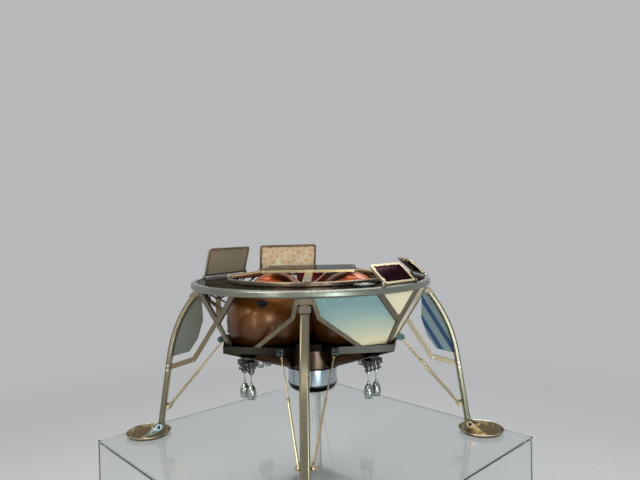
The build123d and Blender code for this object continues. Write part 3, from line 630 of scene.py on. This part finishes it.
def bend(points):
    """The same run of points with each corner rounded."""
    points = [Vector(p) for p in points]
    out = [points[0]]
    for a, b, c in zip(points, points[1:], points[2:]):
        reach = min((a - b).length, (c - b).length) * BEND_SHARE
        start, end = b + (a - b).normalized() * reach, b + (c - b).normalized() * reach
        for k in range(BEND_STEPS + 1):
            t = k / BEND_STEPS
            out.append(start * (1 - t) ** 2 + b * 2 * t * (1 - t) + end * t * t)
    return out + [points[-1]]


def plate(bm, outline, where, thick, cut=0.6):
    """A flat plate with cut upper edges. The outline is in X and Y, and the plate rises along Z."""
    corners = [Vector(corner) for corner in outline]
    middle = sum(corners, Vector((0, 0))) / len(corners)
    levels = []
    for height, inset in ((0.0, 0.0), (thick - cut, 0.0), (thick, cut)):
        spots = [corner - (corner - middle).normalized() * inset for corner in corners]
        levels.append([bm.verts.new(where @ Vector((*spot, height))) for spot in spots])
    skin(bm, levels)
    bm.faces.new(levels[-1])
    bm.faces.new(levels[0][::-1])


def rounded(width, height, corner, steps=4):
    """The outline of a rectangle with round corners."""
    points = []
    for k, (sx, sy) in enumerate([(1, 1), (-1, 1), (-1, -1), (1, -1)]):
        for n in range(steps + 1):
            angle = math.pi / 2 * (k + n / steps)
            points.append((sx * (width / 2 - corner) + corner * math.cos(angle),
                           sy * (height / 2 - corner) + corner * math.sin(angle)))
    return points


def slant_screws(bm, places, runs, rise, height):
    """Screws on the slanted plane, along runs from one (side, height) to another with a count."""
    for where in places:
        for first, last, count in runs:
            for k in range(count):
                spot = on_slant(*first, rise).lerp(on_slant(*last, rise), k / (count - 1))
                screw(bm, aimed(where, spot, SLANT_NORMAL), 2.6, height)


# The pieces' shapes

def plinth_joints(bm):
    """The pale cemented joints of the clear box: under its top sheet and down its corners."""
    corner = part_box("plinth_walls")[1]
    top, half, seam = corner[2] * 1000.0, corner[0] * 1000.0 / math.sqrt(2) - 0.4, 9.2
    where = Matrix.Rotation(math.radians(45), 4, "Z") @ Matrix.Scale(0.001, 4)
    for k in range(4):
        side = where @ Matrix.Rotation(math.pi / 2 * k, 4, "Z")
        for start, base, thick in ((-half, top - 0.2, 0.4), (half - 1.0, 1.0, top - 2.0)):
            plate(bm, [(start, half - seam), (half, half - seam), (half, half), (start, half)],
                  at(side, 0, 0, base), thick, 0.1)


def frame_screws(bm):
    """Small screws along the kinked bars and the Ys, through to what they hold."""
    slant_screws(bm, both_sides(), [((30, 618), (42, 575), 2), ((58, 555), (172, 457), 4)], 4.5, 1.8)


def sheet_screws(bm):
    """Screws round the edges of the sheets that close the right half of the body."""
    places = [lander(0), lander(0, -1), lander(270), lander(90, -1)]
    slant_screws(bm, places, [((62, 628), (236, 628), 4), ((212, 455), (272, 455), 2)], 1.5, 1.6)


def leg_top_links(bm):
    """Dark links and gussets between the top of each leg and the bars beside it."""
    for where in both_sides():
        for high, side, low in ((630.0, 40.0, 585.0), (612.0, 43.5, 571.0)):
            foot = on_slant(side, low, -5.0)
            pipe(bm, [(436.0, 10.0, high), foot], 3.4, where)
            hex_bolt(bm, aimed(where, foot, -SLANT_NORMAL), 4.6, 4.0)
        upright = at(where, 424.0, 17.5, 608.0) @ Matrix.Rotation(math.pi / 2, 4, "X")
        plate(bm, [(0, 0), (30, 0), (24, 12), (6, 26), (0, 26)], upright, 3.0)


def ring_fittings(bm):
    """Dark valves and pipes under the deck, in the openings of the Ys on the open half."""
    for where in (lander(225), lander(135, -1)):
        for angle, drop in ((-8.0, 30.0), (-3.0, 22.0), (3.5, 26.0)):
            under = at(where @ Matrix.Rotation(math.radians(angle), 4, "Z"), 458.0, 0, 657.0)
            down = under @ Matrix.Rotation(math.pi, 4, "X")
            plate(bm, rounded(26.0, 20.0, 4.0), down, 4.0, 1.0)
            lathe(bm, [(8.6, 4.0), (8.6, drop * 0.6), (6.0, drop * 0.75), (6.0, drop), (0, drop)], down, 18)
            band(bm, at(down, 0, 0, drop * 0.4), 9.4, 3.0, 4.0, 18)
            for side in (-1, 1):
                hex_bolt(bm, at(down, side * 10.0, side * 6.0, 4.0), 2.2, 2.6)
        pipe(bm, bend([(454.0, -64.0, 632.0), (446.0, -40.0, 618.0), (448.0, -10.0, 622.0),
                       (444.0, 26.0, 636.0), (436.0, 40.0, 657.0)]), 3.2, where)
        pipe(bm, bend([(440.0, -60.0, 657.0), (424.0, -48.0, 612.0), (404.0, -30.0, 596.0)]), 3.2, where)


def tank_trim(bm):
    """The weld seam round each tank and the bolted collar round the boss on its top."""
    seam = [(-0.5, -2.2), (0.5, -1.2), (0.7, 0.0), (0.5, 1.2), (-0.5, 2.2)]
    collar = [(16.0, 168.6), (17.6, 168.6), (26.0, 158.6), (27.0, 158.4), (27.0, 161.0), (25.5, 162.0),
              (19.0, 164.6), (18.0, 168.0), (16.0, 169.0)]
    for x, y in ((-1, -1), (-1, 1), (1, -1), (1, 1)):
        where = at(lander(), x * TANK_OFFSET, y * TANK_OFFSET, TANK_HEIGHT)
        lathe(bm, [(TANK_RADIUS + out, height) for out, height in seam], where, 96)
        lathe(bm, collar, where, 40)
        for spot in round_spots(where, 8, 22.5, 161.5):
            hex_bolt(bm, spot, 1.9, 3.2)


def tank_plumbing(bm):
    """The bracket, elbow and two pipes at each tank's valve."""
    tilt = Matrix.Rotation(math.acos(VALVE_RISE / TANK_RADIUS), 4, "X")
    for turn in LEGS:
        middle = at(lander(turn + 180), -TANK_OFFSET, -TANK_OFFSET, TANK_HEIGHT)
        where = at(middle @ tilt, 0, 0, TANK_RADIUS + 0.2)
        band(bm, at(where, 0, 0, 1.5), 14.0, 5.0, 4.0, 28)
        for spot in round_spots(where, 6, 14.0, 3.2):
            hex_bolt(bm, spot, 1.6, 2.4)
        lathe(bm, [(0, 12.0), (8.2, 12.0), (8.2, 21.0), (6.4, 23.0), (0, 23.0)], where, 6)
        for side in (-1, 1):
            pipe(bm, bend([(0, 0, 16), (side * 20, 0, 16), (side * 25, -3, 4)]), 3.6, where)
            band(bm, aimed(where, (side * 15.0, 0, 16), OUTWARD), 4.4, 3.0, 5.0, 14)


def strut_trim(bm):
    """Collars, sockets and nuts of the struts."""
    line = (STRUT_HEAD - STRUT_FOOT).normalized()
    for where in both_sides():
        lathe(bm, [(4.9, -9.0), (5.9, -8.2), (5.9, -1.0), (4.6, 1.4), (2.7, 6.0), (2.7, 6.4)],
              aimed(where, STRUT_FOOT.lerp(STRUT_HEAD, 0.56), line), 20)
        lathe(bm, [(4.7, 0.0), (6.4, 1.0), (6.4, 6.0), (4.7, 8.0)],
              aimed(where, STRUT_FOOT + line * 10.0, line), 20)
        hex_bolt(bm, aimed(where, STRUT_FOOT + Vector((0, 8.6, 0)), SIDEWAYS), 4.6, 5.0)
        lathe(bm, [(2.7, 0.0), (5.2, 2.0), (5.2, 9.0), (3.6, 12.0)],
              aimed(where, STRUT_HEAD - line * 26.0, line), 16)


def strut_clevises(bm):
    """The dark forks on the floor plate that hold the struts' heads."""
    cheek = [(0, -12), (10, -12), (17, -7), (17, 5), (11, 10), (0, 12)]
    for where in both_sides():
        for side in (92.4, 106.6):
            plate(bm, cheek, at(where, 366.0, side, 427.0) @ Matrix.Rotation(math.pi / 2, 4, "X"), 3.0)
        pipe(bm, [(375.0, 86.0, 424.0), (375.0, 110.0, 424.0)], 2.6, where)
        hex_bolt(bm, aimed(where, (375.0, 109.0, 424.0), SIDEWAYS), 3.6, 4.0)
        for height in (420.0, 438.0):
            hex_bolt(bm, aimed(where, (358.0, 109.0, height), SIDEWAYS), 2.6, 2.8)


def yoke_trim(bm):
    """Bolted tabs on the dishes, where the splayed straps land."""
    for where in both_sides():
        tab = at(where, 712.0, 56.0, 4.0) @ Matrix.Rotation(math.radians(-10), 4, "Z")
        plate(bm, rounded(26.0, 18.0, 4.0), tab, 2.4)
        hex_bolt(bm, at(tab, 5.0, 0, 2.4), 3.8, 4.4)


def pin_nuts(bm):
    """Dark nuts on the pins at the feet."""
    for where in both_sides():
        hex_bolt(bm, aimed(where, PIN_END, SIDEWAYS), 5.6, 4.0)


def pad_trim(bm):
    """A rolled bead round the rim of each dish and a ring of rivets inside it."""
    turns = [math.pi / 4 * k for k in range(9)]
    bead = [(92.6 + 1.9 * math.cos(a), 12.6 + 1.9 * math.sin(a)) for a in turns]
    for turn in LEGS:
        where = at(lander(turn), PAD_REACH, 0, 0)
        lathe(bm, bead, where, 72)
        for spot in round_spots(where, 16, 76.0, 4.0, 0.5):
            lathe(bm, [(2.8, 0), (2.5, 0.9), (1.4, 1.6), (0, 1.9)], spot, 12)


def thruster_trim(bm):
    """Nuts, rings, pipes and end caps of the small thrusters."""
    for place in both_sides(DIAGONALS):
        where = at(place, THRUSTER_REACH, THRUSTER_SIDE, 0)
        lathe(bm, [(9.6, 326.0), (9.6, 322.0), (7.0, 319.0), (2.7, 318.0)], where, 6)
        lathe(bm, [(2.7, 290.0), (4.6, 288.0), (5.6, 282.6), (5.6, 280.0), (4.8, 279.0)], where, 20)
        for height in (346.0, 332.0):
            band(bm, at(where, 0, 0, height), 12.0, 3.4, 4.0, 24)
        band(bm, at(where, 0, 0, 227.4), 13.9, 1.6, 2.4, 32)
        lathe(bm, [(0, 0), (7.4, 0), (7.4, 4.0), (5.0, 6.0), (0, 6.0)],
              aimed(where, (0, 20.0, MANIFOLD), SIDEWAYS), 6)
        lathe(bm, [(8.2, 0), (8.2, 5.0), (6.0, 7.0), (0, 7.0)],
              aimed(where, (17.0, 0, MANIFOLD), OUTWARD), 18)
        pipe(bm, bend([(11.0, 0, 338.0), (24.0, 0, 338.0), (26.0, -12.0, 356.0), (24.0, -16.0, 372.0),
                       (8.0, -16.0, 384.0)]), 2.4, where)
        pipe(bm, bend([(-11.0, 0, 338.0), (-22.0, 0, 340.0), (-24.0, -10.0, 360.0), (-17.0, -12.0, 372.0)]),
             2.0, where)


def engine_trim(bm):
    """The bolted flange over the engine's can and a thin bead round the can."""
    band(bm, at(lander(), 0, 0, 295.8), 111.0, 12.0, 3.6, 96)
    band(bm, at(lander(), 0, 0, 226.0), 104.2, 2.4, 2.6, 96)
    for spot in round_spots(lander(), 24, 111.6, 294.0):
        hex_bolt(bm, aimed(spot, (0, 0, 0), DOWN), 2.2, 3.2)


def deck_trim(bm):
    """Radial seams and two rings of screws on the deck."""
    for k in range(12):
        seam = at(lander(30.0 * k - 75.0), DECK_MIDDLE, 0, DECK_TOP)
        plate(bm, [(-58, -1.6), (58, -1.6), (58, 1.6), (-58, 1.6)], seam, 0.8, 0.3)
    for radius in (363.0, 470.0):
        for spot in round_spots(lander(), 36, radius, DECK_TOP, 0.5):
            screw(bm, spot, 2.0, 1.2)


def ring_screws(bm):
    """Screws along the top of the ring, clear of the hinge ears."""
    for spot in round_spots(lander(), 48, RING_MIDDLE, RING_SEAT, 0.5):
        screw(bm, spot, 2.2, 1.4)


def strap_bolts(bm):
    """Screws at both ends of the cranked straps, on the lip and on the upper panel, and a cap at the foot
    of each of their braces."""
    for turn, panel in zip(LEGS, (PANEL_LENGTH, PANEL_WIDTH) * 2):
        where = lander(turn)
        for side in (-1, 1):
            screw(bm, at(where, 347.0, side * 9.0, 684.0), 3.0, 2.0)
            screw(bm, at(where, panel / 2 - 12.0, side * 9.0, PANEL_TOP), 3.0, 2.0)
            lathe(bm, [(3.0, 0), (4.4, 1.0), (4.4, 4.0), (3.0, 6.0), (0, 6.0)],
                  at(where, 349.0, side * 27.5, 677.0), 14)


def panel_edging(bm):
    """The thin metal edging round the upper panel."""
    where = at(lander(), 0, 0, 700.6)
    levels = []
    for out, height in ((0.0, 0.0), (0.9, 0.0), (0.9, 8.8), (0.0, 9.3)):
        outline = rounded(PANEL_LENGTH + 2 * out, PANEL_WIDTH + 2 * out, 14.0 + out, 8)
        levels.append([bm.verts.new(where @ Vector((x, y, height))) for x, y in outline])
    skin(bm, levels)


def port_place(height):
    """The middle of the deck's round port, at a height over the deck."""
    return at(lander(), *on_circle(DECK_MIDDLE, -60.0, DECK_TOP + height))


def port_screws(bm):
    """Screws and a thin band round the port."""
    for spot in round_spots(port_place(9.0), 8, 35.4):
        screw(bm, spot, 1.9, 1.2)
    band(bm, port_place(8.0), 30.0, 2.4, 2.4, 48)


def port_lens(bm):
    """The dark lens of the port."""
    turns = [math.radians(a) for a in range(0, 90, 10)]
    lathe(bm, [(29.0 * math.cos(a), 4.0 * math.sin(a)) for a in turns] + [(0, 4.0)], port_place(6.0), 48)


def hinge_place(azimuth, width):
    """The middle of a hinged panel's pin, with the pin along X."""
    ear = width / 2 + 5.0
    return at(lander(azimuth), 0, -math.sqrt(RING_MIDDLE**2 - ear**2), HINGE_HEIGHT)


def hinge_nuts(bm):
    """A nut and two screws on the outer face of each hinge ear."""
    for _, azimuth, width, _, _ in FLAPS:
        where = hinge_place(azimuth, width)
        for side in (-1, 1):
            face = side * (width / 2 + 9.0)
            hex_bolt(bm, aimed(where, (face, 0, 0), (side, 0, 0)), 4.6, 4.4)
            for foot in (-4.4, 4.4):
                screw(bm, aimed(where, (face, foot, -6.2), (side, 0, 0)), 1.6, 1.0)


def flap_clips(bm, azimuth, width, length, lean):
    """The clips that hold a hinged panel's pane in its frame, on both of its faces."""
    where = hinge_place(azimuth, width) @ Matrix.Rotation(math.radians(-lean), 4, "X")
    clips = [(side * (width / 2 - 8.5), length * share - 4.5, 9.0, 13.0)
             for side in (-1, 1) for share in (0.22, 0.78)]
    clips += [((share - 0.5) * width, length - 13.0, 13.0, 9.0) for share in (0.2, 0.5, 0.8)]
    for face in (-1, 1):
        for x, z, wide, high in clips:
            clip = at(where, x, face * 4.0, z) @ Matrix.Rotation(-math.pi / 2 * face, 4, "X")
            plate(bm, rounded(wide, high, 2.0), clip, 1.2, 0.3)
            screw(bm, at(clip, 0, 0, 1.2), 1.9, 1.1)


def leg_bolts(bm):
    """Bolts through each leg at the ends of its wing's bar and at its collar."""
    for where in both_sides():
        for reach, height in ((620.5, 297.0), (623.4, 278.0)):
            hex_bolt(bm, aimed(where, (reach, 16.0, height), SIDEWAYS), 3.4, 3.4)
        for reach, height in ((415.0, 640.0), (514.0, 318.0), (399.0, 487.0)):
            screw(bm, aimed(where, (reach, 7.0, height), SIDEWAYS), 2.6, 1.6)


# Name, shape, material and slot of the pieces that ride on the lander
PIECES = [
    ("plinth_joints", plinth_joints, "joint_cement", "clear_acrylic"),
    ("frame_screws", frame_screws, "champagne_frame", "bronze_metal"),
    ("sheet_screws", sheet_screws, "steel_strap", "bright_metal"),
    ("leg_top_links", leg_top_links, "black_fitting", "dark_metal"),
    ("ring_fittings", ring_fittings, "black_fitting", "dark_metal"),
    ("tank_trim", tank_trim, "copper_skin", "copper_foil"),
    ("tank_plumbing", tank_plumbing, "black_fitting", "dark_metal"),
    ("strut_trim", strut_trim, "gold_rod", "bright_metal"),
    ("strut_clevises", strut_clevises, "teal_fitting", "dark_metal"),
    ("yoke_trim", yoke_trim, "gold_rod", "bright_metal"),
    ("pin_nuts", pin_nuts, "black_fitting", "dark_metal"),
    ("pad_trim", pad_trim, "pad_edge", "pad_metal"),
    ("thruster_trim", thruster_trim, "thruster_metal", "bright_metal"),
    ("engine_trim", engine_trim, "casing_metal", "dark_metal"),
    ("deck_trim", deck_trim, "deck_line", "pale_metal"),
    ("ring_screws", ring_screws, "steel_strap", "bright_metal"),
    ("strap_bolts", strap_bolts, "bright_metal", "bright_metal"),
    ("panel_edging", panel_edging, "gold_rod", "bronze_metal"),
    ("port_screws", port_screws, "bright_metal", "bright_metal"),
    ("port_lens", port_lens, "port_lens", "dark_metal"),
    ("hinge_nuts", hinge_nuts, "bright_metal", "bright_metal"),
    ("leg_bolts", leg_bolts, "bright_metal", "bright_metal"),
]


def make_piece(name, shape, material, slot, body, *sizes):
    """Makes a shape into one piece that rides on a body."""
    bm = bmesh.new()
    shape(bm, *sizes)
    bmesh.ops.recalc_face_normals(bm, faces=bm.faces)
    mesh = bpy.data.meshes.new(name)
    bm.to_mesh(mesh)
    bm.free()
    mesh.shade_smooth()
    mesh.set_sharp_from_angle(angle=math.radians(SHARP_ANGLE))
    mesh.materials.append(MAT[material])
    piece = bpy.data.objects.new(name, mesh)
    scene.collection.objects.link(piece)
    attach(piece, body)


def make_small_pieces():
    for name, shape, material, slot in PIECES:
        make_piece(name, shape, material, slot, "lander")
    for name, *sizes in FLAPS:
        material = "champagne_frame" if name in "ab" else "gold_frame"
        make_piece(f"flap_clips_{name}", flap_clips, material, "bronze_metal", f"flap_{name}", *sizes)


# Studio

# What the camera, and metal and glass, see behind the model
BACKDROP = (0.47, 0.48, 0.49)

# How far from the plinth's middle the floor starts to turn into the backdrop and has turned, in metres
FADE_START, FADE_END = 1.1, 4.2


def backdrop_rays(tree):
    """1 for rays that show the backdrop as it is, and 0 for those that only carry its light."""
    rays = tree.nodes.new("ShaderNodeLightPath").outputs
    clear = arithmetic(tree, "MAXIMUM", rays["Is Camera Ray"], rays["Is Glossy Ray"])
    return arithmetic(tree, "MAXIMUM", clear, rays["Is Transmission Ray"])


def backdrop_mix(tree, share, plain, kind, output):
    """Sets an output to a plain shader, and to one of a kind with the backdrop's colour by a share."""
    shown = tree.nodes.new(kind)
    shown.inputs["Color"].default_value = (*BACKDROP, 1.0)
    mix = tree.nodes.new("ShaderNodeMixShader")
    for source, socket in zip((share, plain.outputs[0], shown.outputs[0]), mix.inputs):
        tree.links.new(source, socket)
    tree.links.new(mix.outputs["Shader"], tree.nodes[output].inputs["Surface"])


def make_floor():
    """A pale floor that takes the model's shadow, and turns into the backdrop further off."""
    bpy.ops.mesh.primitive_plane_add(size=60.0, location=(0, 0, 0))
    floor = bpy.context.object
    floor.name = "floor"
    material, tree, shader = new_material("floor")
    stops = [(0.3, (0.76, 0.76, 0.75)), (0.7, (0.80, 0.80, 0.79))]
    tree.links.new(ramp(tree, noise(tree, 40.0), stops), shader.inputs["Base Color"])
    shader.inputs["Roughness"].default_value = 0.6
    away = measure(tree, "LENGTH", object_place(tree))
    share = remap(tree, away, FADE_START, FADE_END, curve="SMOOTHSTEP")
    fade = arithmetic(tree, "MULTIPLY", share, backdrop_rays(tree))
    backdrop_mix(tree, fade, shader, "ShaderNodeEmission", "Material Output")
    floor.data.materials.append(material)


def make_world():
    """Dim sky light on the model, in front of the same plain backdrop."""
    world = bpy.data.worlds.new("world")
    world.use_nodes = True
    tree = world.node_tree
    light = tree.nodes["Background"]
    light.inputs["Color"].default_value = (0.60, 0.64, 0.70, 1.0)
    light.inputs["Strength"].default_value = 0.36
    backdrop_mix(tree, backdrop_rays(tree), light, "ShaderNodeBackground", "World Output")
    scene.world = world


# Lamps: name, place, target, size and power in watts, colour, and how wide their light spreads in degrees
LAMPS = [
    ("key", (-2.2, -2.4, 3.2), (0.0, 0.0, 0.9), (1.9, 1.9), 64, (1.0, 0.95, 0.87), 180.0),
    ("fill", (2.9, -2.3, 2.3), (0.0, 0.0, 0.9), (2.8, 2.2), 33, (0.93, 0.97, 1.0), 180.0),
    ("top", (0.0, 0.4, 3.8), (0.0, 0.0, 0.9), (2.4, 2.4), 44, (1.0, 0.97, 0.92), 180.0),
    ("back", (1.3, 2.0, 3.6), (0.0, 0.0, 0.9), (1.6, 1.2), 24, (1.0, 1.0, 1.0), 180.0),
    ("strip_left", (-1.5, -2.6, 0.9), (0.0, 0.1, 0.8), (0.16, 1.3), 0.9, (1.0, 0.92, 0.76), 70.0),
    ("strip_right", (1.2, -2.9, 0.9), (0.0, 0.1, 0.8), (0.18, 1.3), 1.6, (0.88, 0.97, 1.0), 70.0),
    ("low_panel", (1.35, -2.6, 0.30), (0.0, 0.0, 0.75), (1.3, 0.5), 2.2, (0.84, 0.97, 1.0), 70.0),
    ("front", (0.5, -3.5, 1.7), (0.0, 0.0, 0.8), (0.9, 0.9), 2.6, (1.0, 0.95, 0.84), 70.0),
]


def make_lights():
    for name, place, target, size, power, colour, cone in LAMPS:
        data = bpy.data.lights.new(name, "AREA")
        data.shape = "RECTANGLE"
        data.size, data.size_y = size
        data.spread = math.radians(cone)
        data.energy = power
        data.color = colour
        lamp = bpy.data.objects.new(name, data)
        scene.collection.objects.link(lamp)
        lamp.location = place
        lamp.rotation_euler = (Vector(target) - Vector(place)).to_track_quat("-Z", "Y").to_euler()
        # The fill's white square would cover the clear box's top from behind
        lamp.visible_glossy = name != "fill"


make_camera()
dress_nodes()
make_small_pieces()
make_floor()
make_world()
make_lights()

scene.view_settings.view_transform = "Standard"
